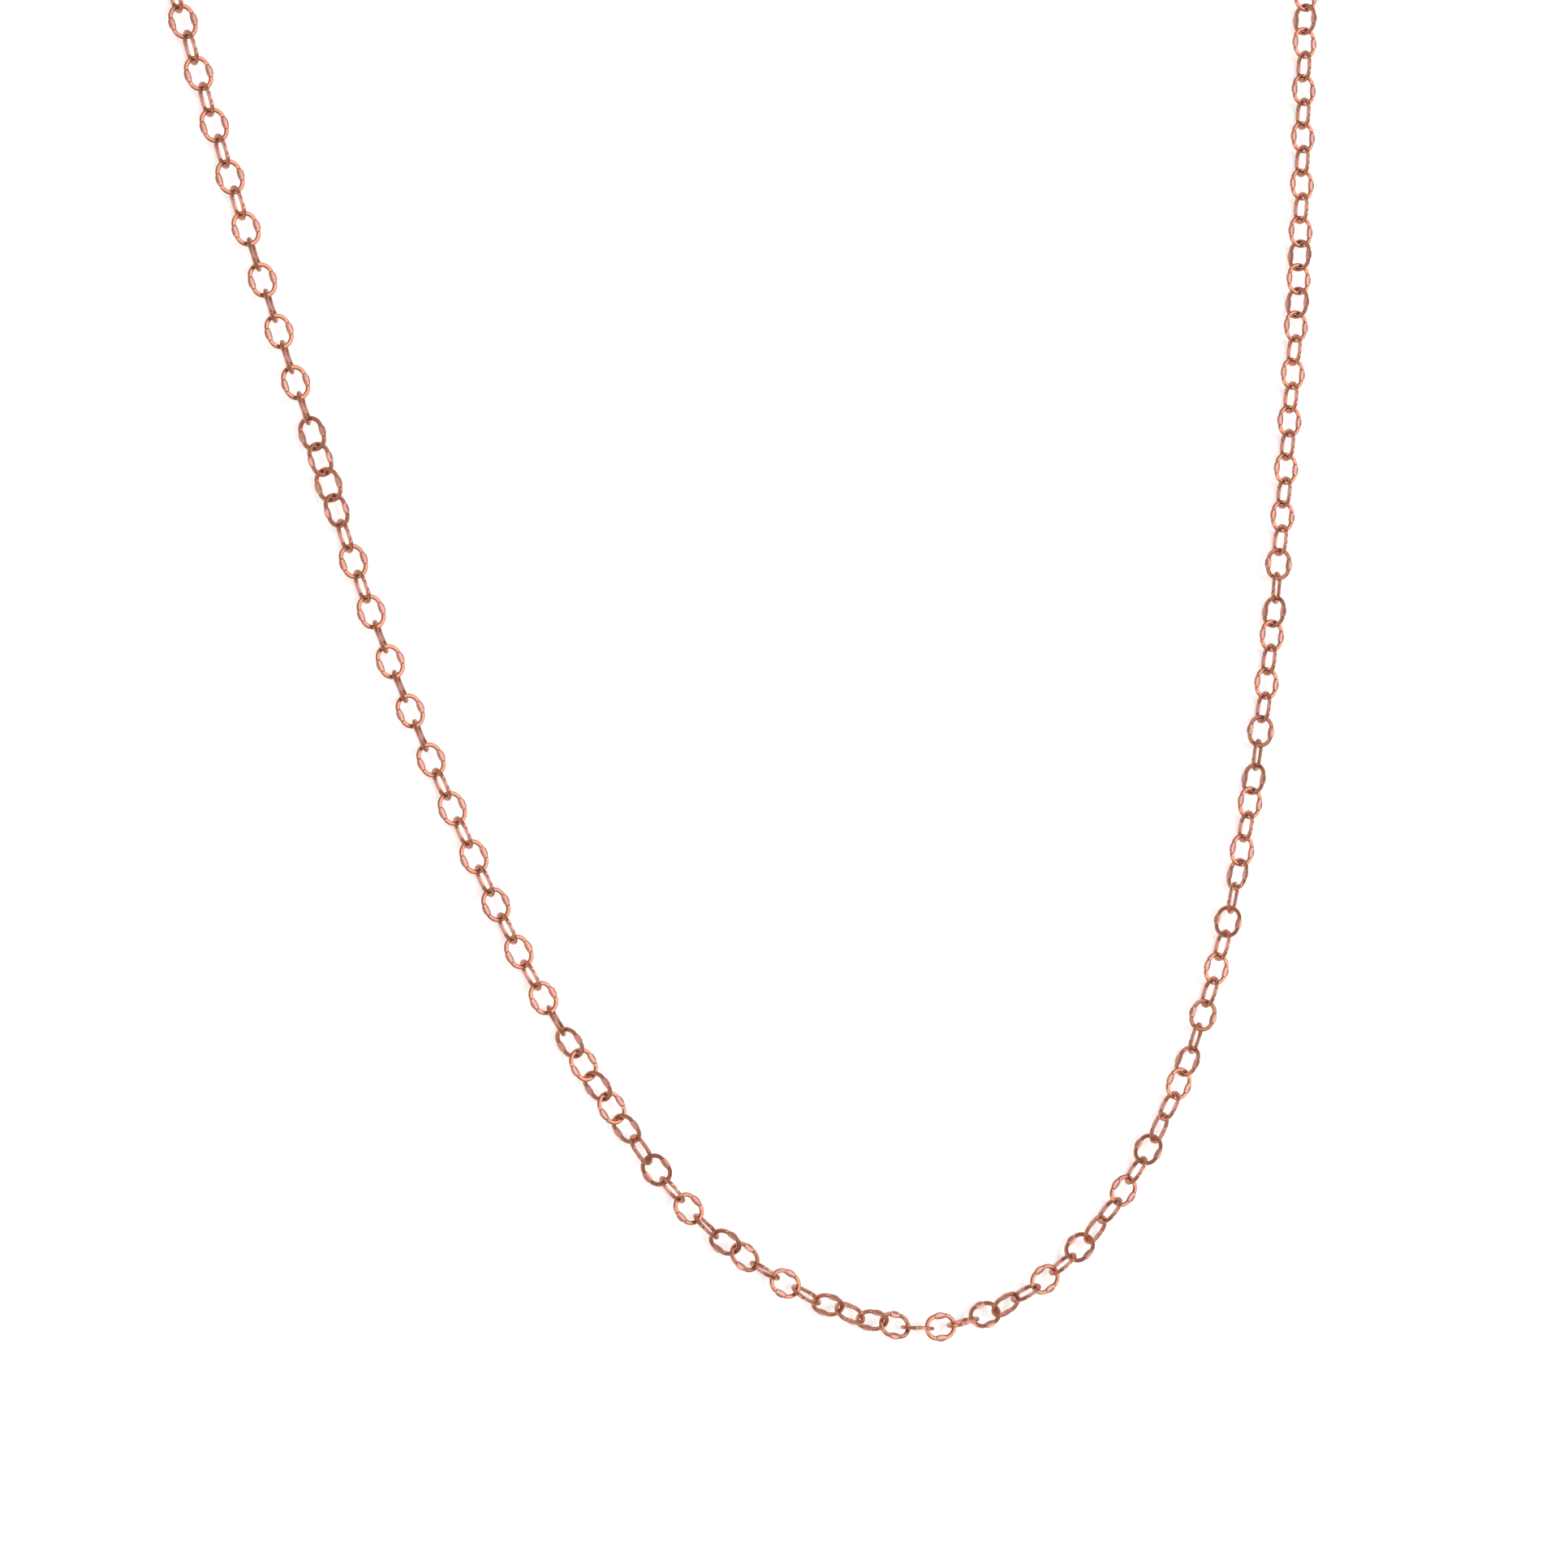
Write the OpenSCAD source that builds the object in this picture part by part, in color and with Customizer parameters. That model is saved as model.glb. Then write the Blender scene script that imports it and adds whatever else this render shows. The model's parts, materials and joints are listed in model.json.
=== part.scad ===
// Chain necklace: a cable chain of hammered oval links, with a lobster clasp and a catch ring.
// It lies unfastened on a table. Millimetres, +Z up, and the table is the plane Z = 0.
// The origin is under the middle of the necklace's bounding box, and the necklace's front is at -Y.

/* [Chain] */
// Number of links from end to end
link_count = 192; // [96:4:208]
// Number of neighbouring links in each chain node
links_per_node = 4; // [4:1:6]

/* [Link] */
// Outer length of a link
link_length = 3.06; // [2.5:0.02:4]
// Outer width of a link, across its two hammered pads
link_width = 2.58; // [2.1:0.02:3.2]
// Width of the wire, seen on the link's flat face
wire_width = 0.37; // [0.3:0.01:0.46]
// Thickness of the wire between the link's flat faces
wire_thick = 0.34; // [0.28:0.01:0.4]
// Bevel along the wire's four edges
wire_bevel = 0.09; // [0.05:0.01:0.11]
// Free play between two neighbouring links
link_play = 0.05; // [0.04:0.01:0.08]

/* [Hammered pads] */
// Length of the pad on each long side of a link
pad_length = 1.1; // [0.9:0.05:1.35]
// How far a pad stands out past the wire, away from the link's hole
pad_rise = 0.12; // [0.08:0.01:0.15]
// How far a pad stands in past the wire, towards the link's hole
pad_inset = 0.04; // [0.02:0.01:0.06]
// Thickness of the metal that the hammer leaves at a pad
pad_thick = 0.27; // [0.22:0.01:0.32]

/* [Rings] */
// Outer diameter of the two jump rings
jump_size = 3.2; // [2.6:0.1:4]
// Wire diameter of the two jump rings
jump_wire = 0.5; // [0.4:0.02:0.6]
// Outer diameter of the catch ring that the clasp closes on
catch_size = 5; // [4:0.1:6]
// Wire diameter of the catch ring
catch_wire = 0.8; // [0.6:0.05:1]
// Free play between a ring and what it is linked to
ring_play = 0.05; // [0.04:0.01:0.1]

/* [Clasp] */
// Distance from the middle of the clasp's eye to the middle of its hook
hook_reach = 5.6; // [4.8:0.1:6.8]
// Outer radius of the clasp's hook
hook_radius = 2.4; // [2.2:0.05:2.8]
// Width of the hook's metal
hook_band = 0.95; // [0.8:0.05:1.1]
// Thickness of the clasp's body
clasp_thick = 2.2; // [1.9:0.1:2.6]
// Outer radius of the clasp's eye
eye_radius = 1.25; // [1.1:0.05:1.5]
// Radius of the hole through the clasp's eye
eye_hole = 0.65; // [0.5:0.05:0.75]
// Thickness of the clasp's eye
eye_thick = 0.8; // [0.6:0.05:0.9]
// Thickness of the clasp's lever
lever_thick = 0.8; // [0.6:0.05:0.9]
// Width of the lever's arm
arm_width = 0.55; // [0.45:0.05:0.65]
// Radius of the pin that the lever turns on
pin_radius = 0.35; // [0.28:0.01:0.4]
// Radial clearance between the pin and the lever
pin_play = 0.04; // [0.03:0.01:0.06]
// Clearance on each side of the lever in its slot, and between its tip and the hook
lever_play = 0.06; // [0.04:0.01:0.1]
// Thickness of the spring's leaf
leaf = 0.14; // [0.1:0.02:0.2]

/* [Hidden] */
$fn = 48;

// The lie of the chain, from the catch ring's end round the front to the clasp's end.
route = [
    [-76, 142], [-71.5, 124], [-65.5, 104], [-59.5, 85], [-54, 66], [-49, 49], [-43.5, 31.5],
    [-38, 14.5], [-31, -2.5], [-23, -19], [-12.5, -34.5], [-5, -41.5], [4, -46.5], [13.5, -48.5],
    [23, -45.5], [31, -39], [38, -29], [43.5, -16], [47.5, -1], [50.5, 15], [53, 33.5], [55, 51.5],
    [56.5, 74], [58, 95], [60.5, 115], [64.5, 135], [69, 152]
];

// How each link lies: F flat, E on its edge, H half-way. A laid chain mostly alternates, with slips.
lie = str(
    "FEFEFEFEFEFEFEFHEFEFEFEFEFEFEFEFEFE",
    "FEFEFEFEFHFHFHFHHFHFEFEFHFHFHFEFEFEFEFEFHEFHFHHFEFHHFEFHHHHFE",
    "FEHFEFEHFEFEHFEFHHFEFEHHEFEFHHFEFEFHHFEFEFEFEFEFHFHFEFEFEFEFHF",
    "EFEFEFEFEFEFEFEFEFEFEFEFEFEFEFEFEF");
// The least and the most that a link is rolled against the one before it.
least_roll = 62;
most_roll = 180 - least_roll;

// A link's wire runs round each end on one arc, which reaches the two pads at half_width.
half_length = (link_length - wire_width) / 2;
half_width = link_width / 2 - pad_rise - wire_width / 2;
half_pad = pad_length / 2;
end_x = (half_length * half_length - half_pad * half_pad - half_width * half_width)
    / (2 * (half_length - half_pad));
end_radius = half_length - end_x;
// Each arc goes this far on into the pads, and a pad's ends are wider than the wire by the lip.
weld = 0.06;
lip = 0.012;
end_turn = acos((half_pad - weld - end_x) / end_radius);
pitch = link_length - 2 * wire_width - link_play;
link_z = link_width / 2;

// Points along the route, joined by smooth curves through the chosen ones, with the way to each.
curve_steps = 16;
function along(p, q, r, s, w) =
    (2 * q + (r - p) * w + (2 * p - 5 * q + 4 * r - s) * w * w + (3 * q - 3 * r + s - p) * w * w * w) / 2;
function before(i) = i > 0 ? route[i - 1] : 2 * route[0] - route[1];
function after(i) = i < len(route) ? route[i] : 2 * route[len(route) - 1] - route[len(route) - 2];
fine = [
    for (i = [0 : len(route) - 2], k = [0 : curve_steps - 1])
        along(before(i), route[i], route[i + 1], after(i + 2), k / curve_steps),
    route[len(route) - 1]
];
way = [
    for (i = 0, run = 0; i < len(fine); i = i + 1, run = run + norm(after_fine(i) - fine[i - 1])) run
];
function after_fine(i) = fine[min(i, len(fine) - 1)];
way_x = [for (i = [0 : len(fine) - 1]) [way[i], fine[i].x]];
way_y = [for (i = [0 : len(fine) - 1]) [way[i], fine[i].y]];

// The route is drawn to the size that the links need. Where one link hooks the next is a knot.
route_length = way[len(way) - 1];
route_scale = link_count * pitch / route_length;
knots = [
    for (i = [0 : link_count])
        let (s = i / link_count * route_length) route_scale * [lookup(s, way_x), lookup(s, way_y)]
];
function heading(i) = atan2(knots[i + 1].y - knots[i].y, knots[i + 1].x - knots[i].x);
function ahead(angle) = [cos(angle), sin(angle)];
function middle(i) = (knots[i] + knots[i + 1]) / 2;
function wrapped(angle) = angle - 180 * floor(angle / 180);
function square_on(turns) = abs(turns[0] - 90) < abs(turns[1] - 90) ? turns[0] : turns[1];
function wanted_turn(letter, roll) =
    letter == "F" ? wrapped(-roll) :
    letter == "E" ? wrapped(90 - roll) : square_on([wrapped(45 - roll), wrapped(135 - roll)]);
function next_roll(i, roll) =
    wrapped(roll + min(max(wanted_turn(lie[i % len(lie)], roll), least_roll), most_roll));
rolls = [for (i = 0, roll = 0; i < link_count; i = i + 1, roll = next_roll(i, roll)) roll];

// The rings and the clasp go on straight from the chain's two ends.
last = link_count - 1;
catch_heading = heading(0) + 180;
clasp_heading = heading(last);
jump_radius = (jump_size - jump_wire) / 2;
jump_z = jump_size / 2;
jump_inside = jump_radius - jump_wire / 2 - ring_play;
catch_radius = (catch_size - catch_wire) / 2;
clasp_z = clasp_thick / 2;
function jump_reach(z) = sqrt(jump_radius * jump_radius - (z - jump_z) * (z - jump_z));
hook_in = half_length - (wire_width + jump_wire) / 2 - ring_play + jump_reach(link_z);
catch_jump = middle(0) + hook_in * ahead(catch_heading);
clasp_jump = middle(last) + hook_in * ahead(clasp_heading);

// The catch ring leans on its jump ring's wire, and its far side rests on the table.
hung = jump_inside - catch_wire / 2;
hung_z = jump_z - hung * sin(45);
catch_tilt = asin((hung_z - catch_wire / 2) / (2 * catch_radius));
catch_z = (hung_z + catch_wire / 2) / 2;
catch_at = catch_jump + (hung * cos(45) + catch_radius * cos(catch_tilt)) * ahead(catch_heading);
// The clasp's eye is as far out as its lower edge can go inside its jump ring.
eye_drop = jump_z - clasp_z + eye_thick / 2;
eye_at = clasp_jump
    + (sqrt(jump_inside * jump_inside - eye_drop * eye_drop) + eye_hole) * ahead(clasp_heading);

// The origin goes under the middle of everything.
function spread(i, across) =
    norm([link_length * ahead(heading(i) - across).x, link_width * ahead(heading(i) - across).y]) / 2;
nose_at = eye_at + hook_reach * ahead(clasp_heading);
low = [
    min([for (i = [0 : last]) middle(i).x - spread(i, 0), catch_at.x - catch_size / 2]),
    min([for (i = [0 : last]) middle(i).y - spread(i, 90)])
];
high = [
    max([for (i = [0 : last]) middle(i).x + spread(i, 0), nose_at.x + hook_radius]),
    max(catch_at.y + catch_size / 2, nose_at.y + hook_radius)
];
centre = (low + high) / 2;

// Sizes of the clasp that follow from its other sizes. Its own frame starts at its eye.
hook_bore = hook_radius - hook_band;
pivot = [2.6, 0.3];
tip = [hook_reach + 0.4, hook_bore - arm_width / 2 - lever_play - 0.06];
hub_radius = pin_radius + 0.42;
slot_thick = lever_thick + 2 * lever_play;
housing_end = hook_reach - hook_radius / 2;
housing_half = sqrt(3) / 2 * hook_radius;
spine_wall = 0.6;
spring_floor = spine_wall - housing_half * 0.72;

// Colours
rose_gold = [0.85, 0.58, 0.5];
pale_gold = [0.9, 0.68, 0.55];
steel = [0.6, 0.6, 0.62];

function name(k) = str("chain_links_", k < 10 ? "0" : "", k);
chain_nodes = ceil(link_count / links_per_node);

// The wire's section: square wire with bevelled edges.
module wire_section() {
    flat_x = wire_width / 2 - wire_bevel;
    flat_y = wire_thick / 2 - wire_bevel;
    polygon([
        [-flat_x, -wire_thick / 2], [flat_x, -wire_thick / 2],
        [wire_width / 2, -flat_y], [wire_width / 2, flat_y],
        [flat_x, wire_thick / 2], [-flat_x, wire_thick / 2],
        [-wire_width / 2, flat_y], [-wire_width / 2, -flat_y]
    ]);
}

module pad_outline() {
    crown = 0.4 * half_pad;
    slant = (half_pad - end_x) / end_radius;
    half_wire = wire_width / 2 / sqrt(1 - slant * slant) + lip;
    inner = half_width - wire_width / 2 - pad_inset;
    outer = half_width + wire_width / 2 + pad_rise;
    polygon([
        [-half_pad, half_width - half_wire], [-crown, inner], [crown, inner], [half_pad, half_width - half_wire],
        [half_pad, half_width + half_wire], [crown, outer], [-crown, outer], [-half_pad, half_width + half_wire]
    ]);
}

module link() {
    for (side = [0, 180]) rotate(side) {
        translate([end_x, 0]) rotate_extrude(angle = 2 * end_turn, start = -end_turn)
            translate([end_radius, 0]) wire_section();
        linear_extrude(pad_thick, center = true) pad_outline();
    }
}

module laid() {
    translate([-centre.x, -centre.y, 0]) children();
}

module chain_links(k) {
    first = (k - 1) * links_per_node;
    color(rose_gold) laid()
        for (i = [first : min(first + links_per_node, link_count) - 1])
            translate([middle(i).x, middle(i).y, link_z]) rotate([0, 0, heading(i)]) rotate([rolls[i], 0, 0])
                link();
}

module wire_ring(radius, wire) {
    rotate_extrude() translate([radius, 0]) circle(d = wire);
}

module standing_ring(at, angle) {
    color(pale_gold) laid()
        translate([at.x, at.y, jump_z]) rotate([90, 0, angle]) wire_ring(jump_radius, jump_wire);
}

module catch_jump_ring() {
    standing_ring(catch_jump, catch_heading);
}

module catch_ring() {
    color(rose_gold) laid()
        translate([catch_at.x, catch_at.y, catch_z]) rotate([0, catch_tilt, catch_heading])
            wire_ring(catch_radius, catch_wire);
}

module clasp_jump_ring() {
    standing_ring(clasp_jump, clasp_heading);
}

module in_clasp() {
    laid() translate([eye_at.x, eye_at.y, clasp_z]) rotate([0, 0, clasp_heading]) children();
}

// The clasp's outline: a housing that widens from the eye and runs into the hook, open on one side.
module body_outline() {
    difference() {
        union() {
            polygon([
                [eye_hole, 0.8], [housing_end, housing_half],
                [housing_end, -housing_half], [eye_hole, -0.8]
            ]);
            translate([hook_reach, 0]) circle(r = hook_radius);
        }
        translate([hook_reach, 0]) circle(r = hook_bore);
        polygon([
            [housing_end - 0.75, 0], [housing_end - 0.75, hook_radius + 1],
            [hook_reach - 0.1, hook_radius + 1], [hook_reach - 0.35, hook_bore / 2], [hook_reach - 0.6, 0]
        ]);
    }
}

module clasp_body() {
    color(rose_gold) in_clasp() difference() {
        union() {
            linear_extrude(clasp_thick, center = true) body_outline();
            cylinder(r = eye_radius, h = eye_thick, center = true);
        }
        cylinder(r = eye_hole, h = clasp_thick, center = true);
        translate([1.5, spring_floor, -slot_thick / 2]) cube([hook_reach - 2, 2 * hook_radius, slot_thick]);
        translate([pivot.x, pivot.y]) cylinder(r = pin_radius, h = 2 * clasp_thick, center = true);
    }
}

// The lever: a hub on the pin, an arm that shuts the hook, and a thumb tab that stands out.
module lever_outline() {
    difference() {
        union() {
            translate(pivot) circle(r = hub_radius);
            translate(tip) circle(d = arm_width);
            polygon([
                [pivot.x, pivot.y - 0.35], [tip.x, tip.y - arm_width / 2],
                [tip.x, tip.y + arm_width / 2], [pivot.x + 0.2, pivot.y + hub_radius - 0.05]
            ]);
            polygon([
                [pivot.x - 0.5, pivot.y + 0.4], [pivot.x + 0.7, pivot.y + 0.4],
                [pivot.x + 0.65, pivot.y + 2.5], [pivot.x + 0.05, pivot.y + 2.6]
            ]);
        }
        translate(pivot) circle(r = pin_radius + pin_play);
    }
}

module clasp_lever() {
    color(rose_gold) in_clasp() linear_extrude(lever_thick, center = true) lever_outline();
}

module clasp_pin() {
    color(steel) in_clasp()
        translate([pivot.x, pivot.y]) cylinder(r = pin_radius, h = clasp_thick, center = true);
}

// The spring: one leaf that lies on the slot's floor and is bent back up against the arm.
module clasp_spring() {
    bed = spring_floor + 0.02;
    bend_x = pivot.x + 1.5;
    under_arm = pivot.y - 0.25;
    color(steel) in_clasp() linear_extrude(lever_thick, center = true) polygon([
        [pivot.x - 0.9, bed], [bend_x, bed], [bend_x + leaf, bed + leaf],
        [bend_x - 0.25, under_arm], [bend_x - 0.25 - leaf, under_arm - leaf / 2],
        [bend_x - 1.2 * leaf, bed + leaf], [pivot.x - 0.9, bed + leaf]
    ]);
}

for (k = [1 : chain_nodes])
    chain_links(k);
catch_jump_ring();
catch_ring();
clasp_jump_ring();
clasp_body();
clasp_lever();
clasp_pin();
clasp_spring();
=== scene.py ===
# %% [markdown]
# # A hammered cable chain necklace
# The necklace lies open on a pale table. Its shape and joints are a fixed frame, which is loaded first.
# Each link, ring and clasp piece is then modelled and laid exactly where its part of the frame is.

# %% Load the frame
import json
import math
import random

import bpy
import numpy as np
from mathutils import Matrix, Vector


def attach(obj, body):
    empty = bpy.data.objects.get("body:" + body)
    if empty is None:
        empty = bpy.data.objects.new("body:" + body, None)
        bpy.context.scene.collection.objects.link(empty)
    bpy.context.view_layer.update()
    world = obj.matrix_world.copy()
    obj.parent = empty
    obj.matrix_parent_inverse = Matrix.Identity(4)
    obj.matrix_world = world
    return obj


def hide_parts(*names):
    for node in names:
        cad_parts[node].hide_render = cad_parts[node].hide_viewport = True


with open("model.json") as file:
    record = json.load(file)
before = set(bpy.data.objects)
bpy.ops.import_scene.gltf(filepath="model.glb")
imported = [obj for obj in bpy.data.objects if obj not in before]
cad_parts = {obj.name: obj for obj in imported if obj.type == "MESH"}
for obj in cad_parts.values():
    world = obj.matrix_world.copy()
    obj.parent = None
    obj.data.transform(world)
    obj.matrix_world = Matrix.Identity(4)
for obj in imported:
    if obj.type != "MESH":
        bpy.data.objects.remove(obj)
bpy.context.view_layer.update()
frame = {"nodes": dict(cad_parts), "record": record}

MM = 0.001
CHAIN = sorted(name for name in frame["nodes"] if name.startswith("chain_links_"))
body_of_node = {
    node: body for body, nodes in frame["record"]["behaviour"]["bodies"].items() for node in nodes
}

# %% [markdown]
# Operators act on all that is selected, and the frame's parts start out selected.
# These helpers clear the selection, and select points by a rule while in edit mode.

# %% Selection helpers
def clear():
    if bpy.context.object and bpy.context.object.mode != "OBJECT":
        bpy.ops.object.mode_set(mode="OBJECT")
    bpy.ops.object.select_all(action="DESELECT")


def only(piece):
    clear()
    piece.select_set(True)
    bpy.context.view_layer.objects.active = piece


def pick_points(piece, rule):
    """Selects the points that the rule accepts, and leaves the piece in edit mode."""
    only(piece)
    bpy.ops.object.mode_set(mode="EDIT")
    bpy.ops.mesh.select_mode(type="VERT")
    bpy.ops.mesh.select_all(action="DESELECT")
    bpy.ops.object.mode_set(mode="OBJECT")
    for point in piece.data.vertices:
        point.select = rule(point.co)
    bpy.ops.object.mode_set(mode="EDIT")


def apply_modifier(piece, kind, **settings):
    only(piece)
    modifier = piece.modifiers.new(kind.lower(), kind)
    for key, value in settings.items():
        setattr(modifier, key, value)
    bpy.ops.object.modifier_apply(modifier=modifier.name)


# %% [markdown]
# ## The link
# A real link is a ring of flattened wire with bevelled edges. A hammer has spread its two long sides
# into pads, which stand out a little and are thinner. A link is the same in each of its quarters,
# so one quarter is modelled, in millimetres, and mirrored twice: the wire's section is spun round
# the end, and then pulled along the side to make half a pad.

# %% The link's sizes, in millimetres
LINK_LENGTH, LINK_WIDTH = 3.06, 2.58
WIRE_WIDTH, WIRE_THICK, WIRE_BEVEL = 0.37, 0.34, 0.09
PAD_HALF, PAD_RISE, PAD_INSET, PAD_THICK = 0.55, 0.14, 0.08, 0.27

end_reach = (LINK_LENGTH - WIRE_WIDTH) / 2
side_reach = LINK_WIDTH / 2 - PAD_RISE - WIRE_WIDTH / 2
arc_x = (end_reach ** 2 - PAD_HALF ** 2 - side_reach ** 2) / (2 * (end_reach - PAD_HALF))
arc_radius = end_reach - arc_x
arc_turn = math.acos((PAD_HALF - arc_x) / arc_radius)
print("end arc radius", round(arc_radius, 3), "turn", round(math.degrees(arc_turn), 1))

# %% Spin a quarter of the link
ARC_STEPS = 9
clear()
bpy.ops.mesh.primitive_plane_add(size=1, location=(end_reach, 0, 0), rotation=(math.pi / 2, 0, 0))
link = bpy.context.object
link.scale = (WIRE_WIDTH, WIRE_THICK, 1)
bpy.ops.object.transform_apply(location=True, rotation=True, scale=True)
bpy.ops.object.mode_set(mode="EDIT")
bpy.ops.mesh.select_all(action="SELECT")
bpy.ops.mesh.bevel(offset=WIRE_BEVEL, affect="VERTICES")
bpy.ops.mesh.select_all(action="SELECT")
bpy.ops.mesh.delete(type="ONLY_FACE")
bpy.ops.mesh.select_all(action="SELECT")
bpy.ops.mesh.spin(steps=ARC_STEPS, angle=arc_turn, center=(arc_x, 0, 0), axis=(0, 0, 1))
bpy.ops.object.mode_set(mode="OBJECT")
print("quarter link", len(link.data.vertices), "points")

# %% [markdown]
# The hammer leaves a sharp step where it stopped, so the pad starts with a narrow pinch, and only
# then widens to its crown. Each stop is pulled out of the one before and then resized.

# %% Pull out half a pad
# Each stop: distance from the link's middle, inner and outer edge from its long axis, thickness.
pad_inner = side_reach - WIRE_WIDTH / 2 - PAD_INSET
pad_outer = side_reach + WIRE_WIDTH / 2 + PAD_RISE
PAD_STOPS = [
    (0.50, pad_inner + 0.10, pad_outer - 0.15, PAD_THICK - 0.01),
    (0.46, pad_inner + 0.06, pad_outer - 0.11, PAD_THICK + 0.02),
    (0.18, pad_inner, pad_outer, PAD_THICK),
    (0.00, pad_inner, pad_outer, PAD_THICK - 0.02),
]


def picked(piece):
    return np.array([v.co[:] for v in piece.data.vertices if v.select])


only(link)
side = 1 if picked(link)[:, 1].mean() > 0 else -1
for stop_x, inner, outer, thick in PAD_STOPS:
    bpy.ops.object.mode_set(mode="EDIT")
    bpy.ops.mesh.extrude_region_move()
    bpy.ops.object.mode_set(mode="OBJECT")
    loop = picked(link)
    size, middle = np.ptp(loop, axis=0), (loop.max(0) + loop.min(0)) / 2
    bpy.ops.object.mode_set(mode="EDIT")
    scale = (0, (outer - inner) / size[1], thick / size[2])
    bpy.ops.transform.resize(value=scale, center_override=tuple(middle))
    bpy.ops.transform.translate(value=(stop_x - middle[0], side * (inner + outer) / 2 - middle[1], 0))
    bpy.ops.object.mode_set(mode="OBJECT")

apply_modifier(link, "MIRROR", use_axis=(True, True, False), merge_threshold=0.002)
only(link)
bpy.ops.object.mode_set(mode="EDIT")
bpy.ops.mesh.select_all(action="SELECT")
bpy.ops.mesh.remove_doubles(threshold=0.001)
bpy.ops.mesh.normals_make_consistent(inside=False)
bpy.ops.object.mode_set(mode="OBJECT")
link_size = np.ptp(np.array([v.co[:] for v in link.data.vertices]), axis=0)
print("link", link_size.round(3), "mm,", len(link.data.polygons), "faces")

# %% [markdown]
# The pads and the creases differ from the wire in shine. In colour the pads carry a painted highlight,
# the bevelled edges a painted golden reflection and the creases painted shade. A colour stored on
# the mesh says which is which: red for a pad, green for a bevelled edge, blue for a crease. Alpha
# is one number for each link, so that no two neighbours are quite the same tone.

# %% Mark the link's surfaces
CREASE_FROM, CREASE_TO = 0.46, 0.50
# How strong the painted shade is in the creases on the link's weaker diagonal.
WEAK_CREASE_SHADE = 0.35
MIDDLE_TONE = 0.5
FLAT, LEVEL, UPRIGHT = 0.8, 0.93, 0.25     # how far a face's normal points along the link's own


def surface_kind(face):
    x, y, _ = face.center
    along = abs(x)
    on_side = abs(y) > side_reach / 2
    # A pad is marked for a painted highlight in colour and for a more satin finish.
    pad_highlight_and_satin = 1.0 if on_side and along < CREASE_FROM else 0.0
    # A bevelled face is marked for a painted golden reflection.
    edge_reflection = 1.0 if UPRIGHT < abs(face.normal.z) < LEVEL else 0.0
    creased = on_side and CREASE_FROM < along < CREASE_TO and abs(face.normal.z) > FLAT
    # A crease is marked for painted shade: full where x and y share a sign, weak on the other diagonal.
    crease_shade = (1.0 if x * y > 0 else WEAK_CREASE_SHADE) if creased else 0.0
    return pad_highlight_and_satin, edge_reflection, crease_shade


def mark(piece, kind_of_face):
    marks = piece.data.color_attributes.new("hammer", "FLOAT_COLOR", "CORNER")
    for face in piece.data.polygons:
        for corner in face.loop_indices:
            marks.data[corner].color = (*kind_of_face(face), MIDDLE_TONE)


mark(link, surface_kind)
only(link)
bpy.ops.object.shade_smooth_by_angle(angle=math.radians(28))
link.data.transform(Matrix.Scale(MM, 4))

# %% [markdown]
# ## Where each link lies
# A frame part holds four separate links. A link is symmetric, so the directions in which its surface
# spreads most, less and least are its length, its width and its flat face's normal.

# %% Find every loose solid in a frame part
def loose_solids(name):
    """The triangles of each separate solid in a node, as arrays of three points."""
    mesh = frame["nodes"][name].data
    mesh.calc_loop_triangles()
    points = np.array([v.co[:] for v in mesh.vertices])
    corners = np.array([t.vertices[:] for t in mesh.loop_triangles])
    keys, same = np.unique(np.round(points, 8), axis=0, return_inverse=True)
    corners, group = same.reshape(-1)[corners], np.arange(len(keys))
    while True:
        low = group[corners].min(axis=1)
        new = group.copy()
        for k in range(3):
            np.minimum.at(new, corners[:, k], low)
        new = new[new]
        if (new == group).all():
            break
        group = new
    solids = [corners[group[corners[:, 0]] == g] for g in np.unique(group[corners[:, 0]])]
    return [keys[s] for s in solids]


def lie_of(triangles):
    """The middle of a solid, and its length, width and normal as the columns of a matrix."""
    across = np.cross(triangles[:, 1] - triangles[:, 0], triangles[:, 2] - triangles[:, 0])
    area = np.linalg.norm(across, axis=1)
    spots = triangles.mean(axis=1)
    middle = (spots * area[:, None]).sum(0) / area.sum()
    # The three mid-side points weigh a triangle's surface exactly.
    sides = np.concatenate([(triangles[:, k] + triangles[:, k - 1]) / 2 for k in range(3)]) - middle
    weight = np.concatenate([area] * 3)
    _, axes = np.linalg.eigh((sides * weight[:, None]).T @ sides)
    length, normal = axes[:, 2], axes[:, 0]
    length = length * np.sign(length[np.abs(length).argmax()])
    normal = normal * np.sign(normal[2] if abs(normal[2]) > 0.05 else normal[0])
    turn = np.column_stack([length, np.cross(normal, length), normal])
    return Matrix.Translation(Vector(middle)) @ Matrix(turn.tolist()).to_4x4()


# %% [markdown]
# ## The finishes
# Shader maths is easier to read as an expression, so a small class wraps a socket and turns
# the usual operators into Math nodes. Every other node comes from one method.

# %% Shader helpers
class Field:
    """A number that changes over a surface."""

    def __init__(self, finish, socket):
        self.finish, self.socket = finish, socket

    def math(self, how, *values):
        return self.finish.node("ShaderNodeMath", {"operation": how}, dict(enumerate(values)))

    def __add__(self, other):
        return self.math("ADD", self, other)

    def __mul__(self, other):
        return self.math("MULTIPLY", self, other)

    __radd__, __rmul__ = __add__, __mul__


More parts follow.
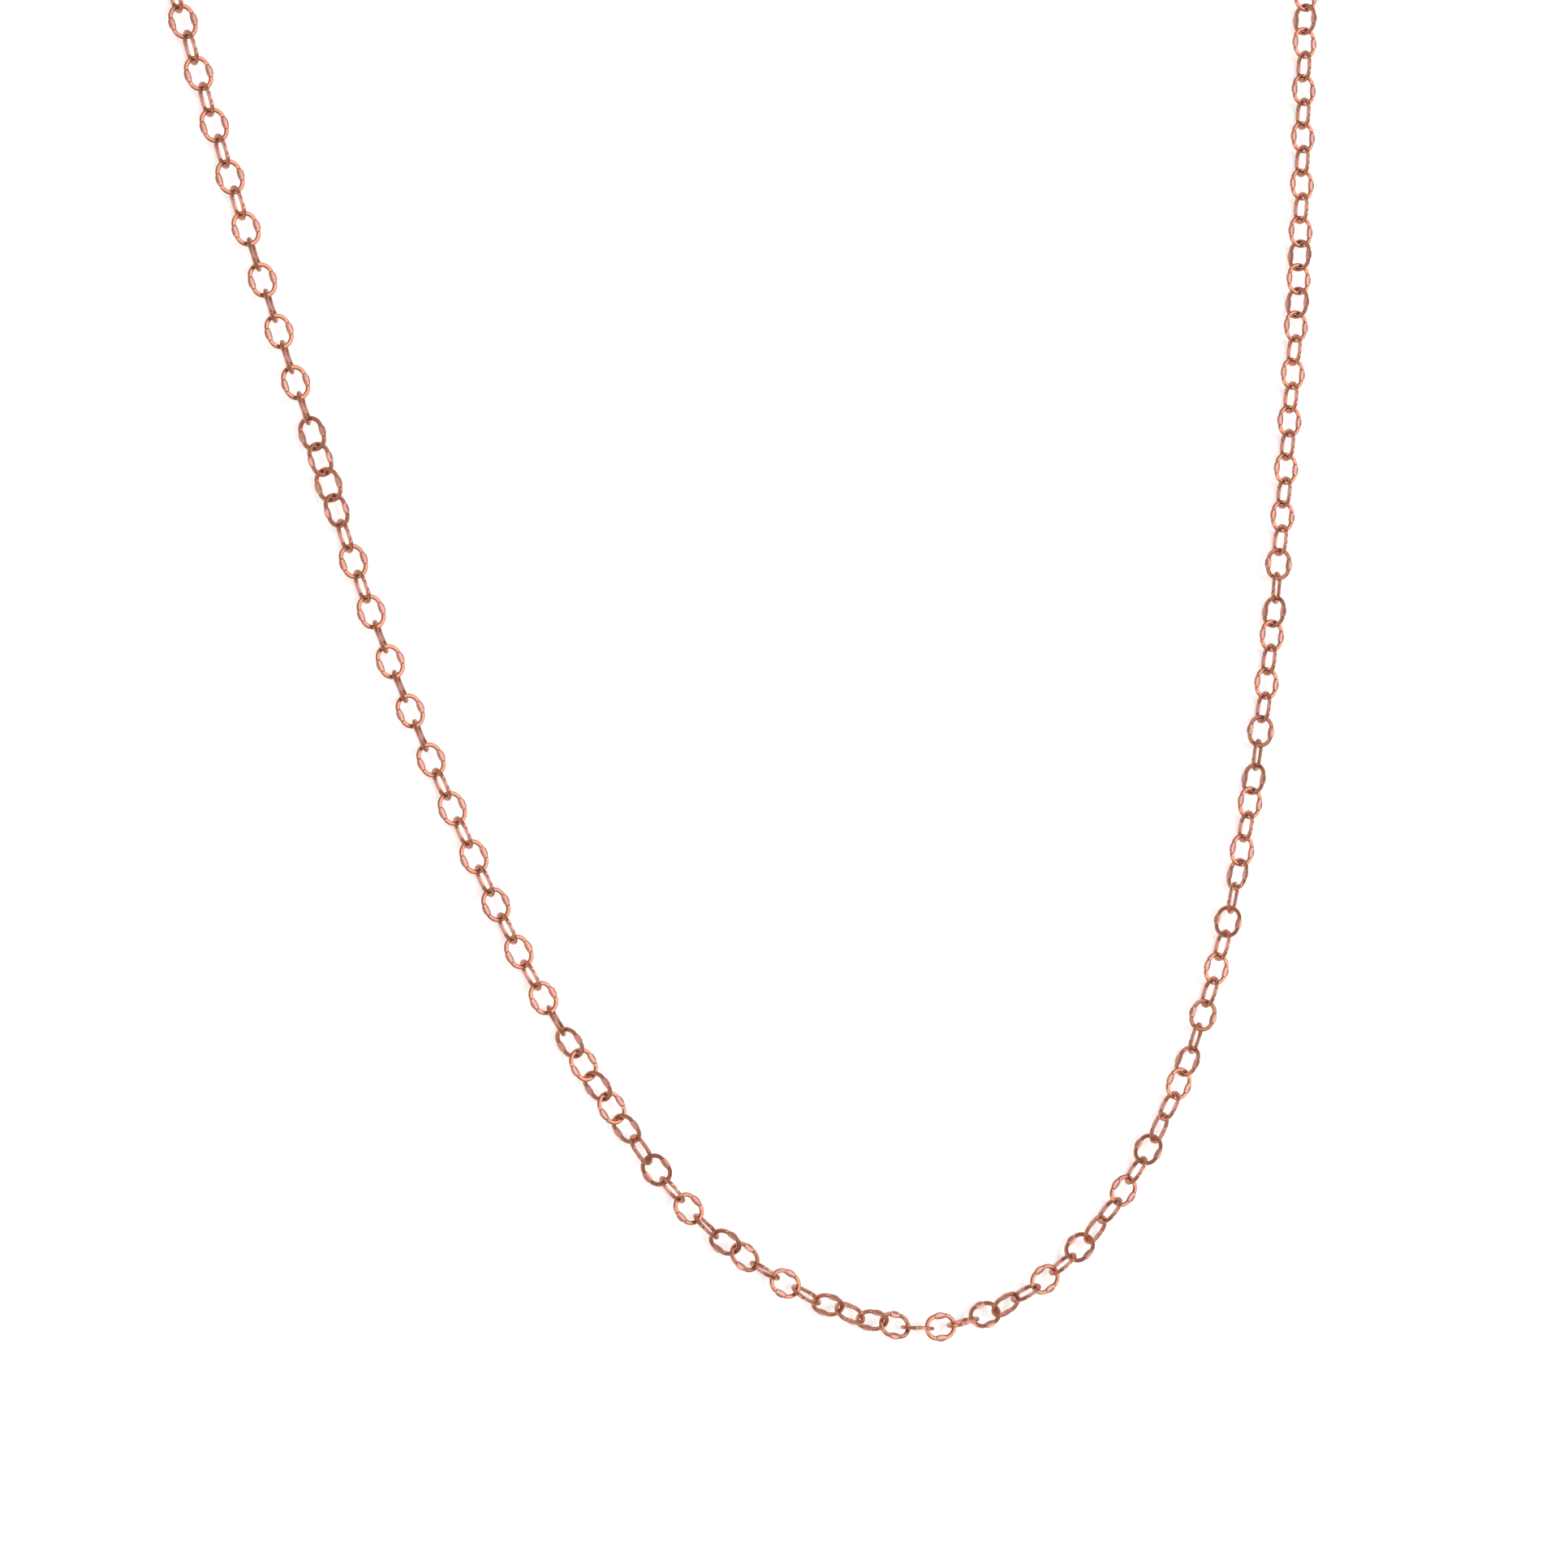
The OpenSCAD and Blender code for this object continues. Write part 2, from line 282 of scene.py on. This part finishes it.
class Finish:
    """A material that is built from expressions."""

    def __init__(self, name, **sockets):
        self.material = bpy.data.materials.new(name)
        self.material.use_nodes = True
        self.tree = self.material.node_tree
        self.shader = self.tree.nodes["Principled BSDF"]
        for key, value in sockets.items():
            self.shader.inputs[key.replace("_", " ")].default_value = value

    def node(self, kind, settings=None, inputs=None, output=0):
        made = self.tree.nodes.new(kind)
        for key, value in (settings or {}).items():
            setattr(made, key, value)
        for key, value in (inputs or {}).items():
            self.feed(made.inputs[key], value)
        return Field(self, made.outputs[output])

    def feed(self, socket, value):
        if isinstance(value, Field):
            self.tree.links.new(value.socket, socket)
        else:
            socket.default_value = value

    def blend(self, amount, below, above, how="MIX"):
        settings = {"data_type": "RGBA", "blend_type": how}
        return self.node("ShaderNodeMix", settings, {0: amount, 6: below, 7: above}, output=2)

    def noise(self, place, scale, detail=2.0):
        return self.node("ShaderNodeTexNoise", None, {"Vector": place, "Scale": scale, "Detail": detail})

    def put(self, name, value):
        self.feed(self.shader.inputs[name], value)


# %% [markdown]
# Rose gold is copper-rich. Its planished pads are the most satin, and their colour is a painted
# highlight, pinker and brighter than the wire. The bevels are painted with a golden reflection, and the
# creases are darkened with painted shade. Fine scratches and shallow hammer marks break up the
# reflections.

# %% Rose gold
WIRE_COLOUR = (0.48, 0.19, 0.127, 1)
# Painted highlight: the pads are painted pinker and brighter than the wire.
PAD_HIGHLIGHT_COLOUR = (0.60, 0.29, 0.245, 1)
# Painted reflection: the bevels are painted golden.
EDGE_REFLECTION_COLOUR = (0.55, 0.25, 0.127, 1)
# Painted shade: the creases are painted dark.
CREASE_SHADE_COLOUR = (0.20, 0.06, 0.04, 1)
MOTTLE_SCALE, DIMPLE_SCALE, SCRATCH_SCALE = 900, 3600, 2600
DRAWN_OUT = (1.0, 7.0, 7.0)
RELIEF, RELIEF_DEPTH = 0.35, 0.00003


def rose_gold(name, marked):
    gold = Finish(name, Metallic=1.0, Roughness=0.3, IOR=1.5)
    place = gold.node("ShaderNodeTexCoord", output="Object")
    mottle = gold.noise(place, MOTTLE_SCALE)
    dimples = gold.node("ShaderNodeTexVoronoi", {"feature": "SMOOTH_F1"},
                        {"Vector": place, "Scale": DIMPLE_SCALE})
    drawn_out = gold.node("ShaderNodeMapping", None, {"Vector": place, "Scale": DRAWN_OUT})
    scratches = gold.noise(drawn_out, SCRATCH_SCALE, detail=4.0)
    colour, tone = WIRE_COLOUR, MIDDLE_TONE
    roughness = 0.24 + 0.16 * scratches
    if marked:
        hammer = gold.node("ShaderNodeAttribute", {"attribute_name": "hammer"}, output="Color")
        pad_highlight_and_satin = gold.node("ShaderNodeSeparateColor", None, {0: hammer}, output=0)
        edge_reflection = gold.node("ShaderNodeSeparateColor", None, {0: hammer}, output=1)
        crease_shade = gold.node("ShaderNodeSeparateColor", None, {0: hammer}, output=2)
        tone = gold.node("ShaderNodeAttribute", {"attribute_name": "hammer"}, output="Alpha")
        # The pads get a painted highlight.
        colour = gold.blend(pad_highlight_and_satin, colour, PAD_HIGHLIGHT_COLOUR)
        # The bevels get a painted golden reflection.
        colour = gold.blend(edge_reflection * 0.6, colour, EDGE_REFLECTION_COLOUR)
        # The creases get painted shade.
        colour = gold.blend(crease_shade * 0.85, colour, CREASE_SHADE_COLOUR)
        roughness = roughness + 0.12 * pad_highlight_and_satin + 0.2 * crease_shade
    shade = 0.80 + 0.22 * mottle + 0.16 * tone
    colour = gold.blend(1.0, colour, shade, how="MULTIPLY")
    gold.put("Base Color", colour)
    gold.put("Roughness", roughness)
    height = 0.5 * dimples + 0.3 * scratches
    relief = {"Strength": RELIEF, "Distance": RELIEF_DEPTH, "Height": height}
    gold.put("Normal", gold.node("ShaderNodeBump", None, relief))
    return gold.material


chain_gold = rose_gold("hammered_rose_gold", marked=True)
smooth_gold = rose_gold("polished_rose_gold", marked=False)

# %% Spring steel
steel = Finish("polished_spring_steel", Metallic=1.0, Roughness=0.25, IOR=1.5)
steel_place = steel.node("ShaderNodeTexCoord", output="Object")
steel_grain = steel.noise(steel_place, 5000, detail=3.0)
steel.put("Base Color", steel.blend(steel_grain, (0.48, 0.48, 0.49, 1), (0.66, 0.66, 0.67, 1)))
steel.put("Roughness", 0.18 + 0.2 * steel_grain)
spring_steel = steel.material


def finish_piece(piece, name, node, material):
    piece.name = piece.data.name = name
    piece.data.materials.clear()
    piece.data.materials.append(material)
    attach(piece, body_of_node[node])
    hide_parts(node)


# %% [markdown]
# ## Laying the chain
# Every link is its own copy of the one model. Four copies are joined for each part of the frame.

# %% Lay the links
tones = random.Random(7)
laid = 0
for node in CHAIN:
    copies = []
    for solid in loose_solids(node):
        copy = link.copy()
        copy.data = link.data.copy()
        bpy.context.collection.objects.link(copy)
        copy.data.transform(lie_of(solid))
        colours = np.empty(len(copy.data.loops) * 4, np.float32)
        copy.data.color_attributes["hammer"].data.foreach_get("color", colours)
        colours[3::4] = tones.random()
        copy.data.color_attributes["hammer"].data.foreach_set("color", colours)
        copies.append(copy)
    laid += len(copies)
    clear()
    for copy in copies:
        copy.select_set(True)
    bpy.context.view_layer.objects.active = copies[0]
    bpy.ops.object.join()
    finish_piece(copies[0], "hammered_" + node, node, chain_gold)
bpy.data.objects.remove(link)
print("links laid", laid)

# %% [markdown]
# ## The rings
# A jump ring is a turn of round wire with a saw cut where it closes. The catch ring is soldered shut,
# and the solder stands a little proud. Both are spun from the wire's round section.

# %% Spin the rings
def spun_ring(radius, wire, gap, steps=48, corners=14):
    """A ring in its own frame, in millimetres, that is open by the gap's angle."""
    clear()
    bpy.ops.mesh.primitive_circle_add(
        vertices=corners, radius=wire / 2, fill_type="NOTHING",
        location=(radius, 0, 0), rotation=(math.pi / 2, 0, 0))
    ring = bpy.context.object
    bpy.ops.object.transform_apply(location=True, rotation=True, scale=True)
    bpy.ops.object.mode_set(mode="EDIT")
    bpy.ops.mesh.select_all(action="SELECT")
    bpy.ops.mesh.spin(steps=steps, angle=2 * math.pi - gap, center=(0, 0, 0), axis=(0, 0, 1))
    bpy.ops.mesh.select_all(action="SELECT")
    if gap:
        bpy.ops.mesh.fill_holes(sides=corners)
    bpy.ops.mesh.remove_doubles(threshold=0.001)
    bpy.ops.mesh.select_all(action="SELECT")
    bpy.ops.mesh.normals_make_consistent(inside=False)
    bpy.ops.object.mode_set(mode="OBJECT")
    return ring


def place_ring(ring, name, node):
    only(ring)
    bpy.ops.object.shade_smooth_by_angle(angle=math.radians(40))
    ring.data.transform(lie_of(loose_solids(node)[0]) @ Matrix.Scale(MM, 4))
    finish_piece(ring, name, node, smooth_gold)


JUMP_RADIUS, JUMP_WIRE, SAW_CUT = 1.35, 0.5, math.radians(2.0)
CATCH_RADIUS, CATCH_WIRE = 2.1, 0.8
SOLDER_HALF, SOLDER_PROUD = 0.12, 1.03

for node in ("catch_jump_ring", "clasp_jump_ring"):
    place_ring(spun_ring(JUMP_RADIUS, JUMP_WIRE, SAW_CUT), node + "_sawn", node)

catch = spun_ring(CATCH_RADIUS, CATCH_WIRE, gap=0.0, steps=64, corners=18)
pick_points(catch, lambda co: co.x > 0 and abs(co.y) < SOLDER_HALF)
bpy.ops.transform.resize(value=(1.0, 1.0, SOLDER_PROUD), center_override=(CATCH_RADIUS, 0, 0))
bpy.ops.object.mode_set(mode="OBJECT")
place_ring(catch, "catch_ring_soldered", "catch_ring")

# %% [markdown]
# ## The clasp
# A cast clasp has no sharp corner left after tumbling. Its outline is the frame's, so a copy of each
# frame part is merged and its flat faces are made whole. The body's mixed arcs and short edges leave
# a bevel no room, so it is given a fine even skin that is then relaxed. The small pieces are bevelled.

# %% Round off the clasp's pieces
SKIN_STEP, RELAX_TIMES = 0.06, 7


def frame_copy(node):
    """A free copy of a frame part, merged, with its flat faces made whole."""
    piece = frame["nodes"][node].copy()
    piece.data = frame["nodes"][node].data.copy()
    for key in list(piece.keys()):
        del piece[key]
    piece.parent = None
    piece.matrix_world = Matrix.Identity(4)
    bpy.context.collection.objects.link(piece)
    only(piece)
    bpy.ops.object.mode_set(mode="EDIT")
    bpy.ops.mesh.select_all(action="SELECT")
    bpy.ops.mesh.remove_doubles(threshold=1e-7)
    bpy.ops.mesh.dissolve_limited(angle_limit=math.radians(1))
    bpy.ops.object.mode_set(mode="OBJECT")
    return piece


def tumbled(node, name, rounding, material, segments=3):
    piece = frame_copy(node)
    apply_modifier(piece, "BEVEL", width=rounding * MM, segments=segments, limit_method="ANGLE",
                   angle_limit=math.radians(40), use_clamp_overlap=True)
    only(piece)
    bpy.ops.object.shade_smooth_by_angle(angle=math.radians(35))
    finish_piece(piece, name, node, material)
    print(name, len(piece.data.polygons), "faces")


clasp_body = frame_copy("clasp_body")
apply_modifier(clasp_body, "REMESH", mode="VOXEL", voxel_size=SKIN_STEP * MM)
apply_modifier(clasp_body, "SMOOTH", factor=0.5, iterations=RELAX_TIMES)
only(clasp_body)
bpy.ops.object.shade_smooth()
finish_piece(clasp_body, "clasp_body_cast", "clasp_body", smooth_gold)
print("clasp body", len(clasp_body.data.polygons), "faces")
tumbled("clasp_lever", "clasp_lever_cast", 0.10, smooth_gold)
tumbled("clasp_pin", "clasp_pin_domed", 0.08, spring_steel)
tumbled("clasp_spring", "clasp_spring_leaf", 0.02, spring_steel, segments=1)

# %% [markdown]
# ## The table, the light and the camera
# Polished metal shows what is around it. A pale table and broad soft lights give it clean bright
# faces, and the gaps between the lights give it its darker lines.

# %% Table
clear()
TABLE_SIZE, TABLE_GLOW = 6.0, 0.42
bpy.ops.mesh.primitive_plane_add(size=TABLE_SIZE, location=(0, 0, 0))
table = bpy.context.object
table.name = "table"
paint = Finish("pale_table", Roughness=0.9, Metallic=0.0, Emission_Strength=TABLE_GLOW)
paint.put("Base Color", (0.93, 0.93, 0.93, 1))
paint.put("Emission Color", (1, 1, 1, 1))
table.data.materials.append(paint.material)

# %% Lights
ROOM_LIGHT = 0.5
world = bpy.data.worlds.new("studio")
bpy.context.scene.world = world
world.use_nodes = True
world.node_tree.nodes["Background"].inputs["Color"].default_value = (1, 1, 1, 1)
world.node_tree.nodes["Background"].inputs["Strength"].default_value = ROOM_LIGHT


def soft_light(name, spot, aim, size, watts):
    lamp = bpy.data.lights.new(name, "AREA")
    lamp.shape, lamp.size, lamp.energy = "DISK", size, watts
    holder = bpy.data.objects.new(name, lamp)
    bpy.context.collection.objects.link(holder)
    holder.location = spot
    holder.rotation_euler = (Vector(aim) - Vector(spot)).to_track_quat("-Z", "Y").to_euler()


soft_light("key", (0.53, 0.08, 1.18), (0, 0, 0), 1.1, 7.5)
soft_light("fill", (-0.9, -0.6, 0.7), (0, 0, 0), 0.5, 2.5)

# %% [markdown]
# The camera looks down on the middle of the chain from in front, a little from the left, and with
# a long lens. Its three directions are given outright.

# %% Camera
FOCUS = Vector((2.958, -56.089, 1.29)) * MM
DISTANCE = 394.6 * MM
FOCAL_LENGTH, SENSOR = 102.48, 36.0
RIGHT, UP = Vector((0.91212, -0.02935, 0.40887)), Vector((0.0, 0.99743, 0.0716))
BACK = RIGHT.cross(UP)
lens = bpy.data.cameras.new("camera")
lens.lens, lens.sensor_width = FOCAL_LENGTH, SENSOR
lens.clip_start, lens.clip_end = 0.01, 20.0
camera = bpy.data.objects.new("camera", lens)
bpy.context.collection.objects.link(camera)
facing = Matrix((RIGHT, UP, BACK)).transposed().to_4x4()
camera.matrix_world = Matrix.Translation(FOCUS + BACK * DISTANCE) @ facing
bpy.context.scene.camera = camera
bpy.context.scene.view_settings.view_transform = "Standard"
